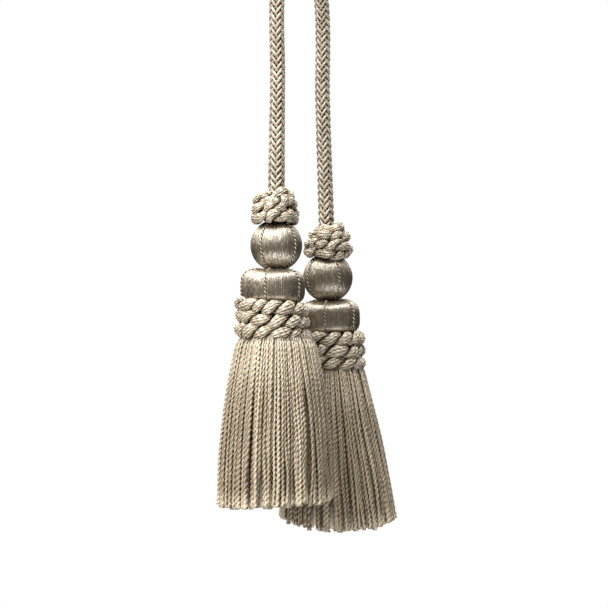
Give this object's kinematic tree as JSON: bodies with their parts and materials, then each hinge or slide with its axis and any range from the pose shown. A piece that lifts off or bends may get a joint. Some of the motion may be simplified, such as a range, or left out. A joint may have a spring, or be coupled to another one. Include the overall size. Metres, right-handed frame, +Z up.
{
  "type": "double tassel chair tie",
  "caption": "Braided cord that hangs by its loop and ends in two tassels, each with a coiled rope knot, a wound ball and drum, a rope collar and a yarn skirt.",
  "frame": {"origin": "the point inside the top of the cord's loop where a hook or a chair's post carries it", "axes": "+Z up along the hanging cord, +X from the higher tassel to the lower one, +Y across the pair"},
  "size_m": [0.1008, 0.051, 0.2644],
  "materials": {
    "braided_cord": "matt braid of cream and taupe strands",
    "twisted_rope": "soft sheen, plied cream rope",
    "satin_thread": "satin, fine threads wound lengthwise",
    "skirt_yarn": "soft sheen, plied beige yarn"
  },
  "bodies": {
    "root": {"cord": "braided_cord", "left_knot": "twisted_rope", "left_ball": "satin_thread", "left_drum": "satin_thread", "left_collar": "twisted_rope", "left_skirt": "skirt_yarn", "right_knot": "twisted_rope", "right_ball": "satin_thread", "right_drum": "satin_thread", "right_collar": "twisted_rope", "right_skirt": "skirt_yarn"}
  },
  "joints": []
}
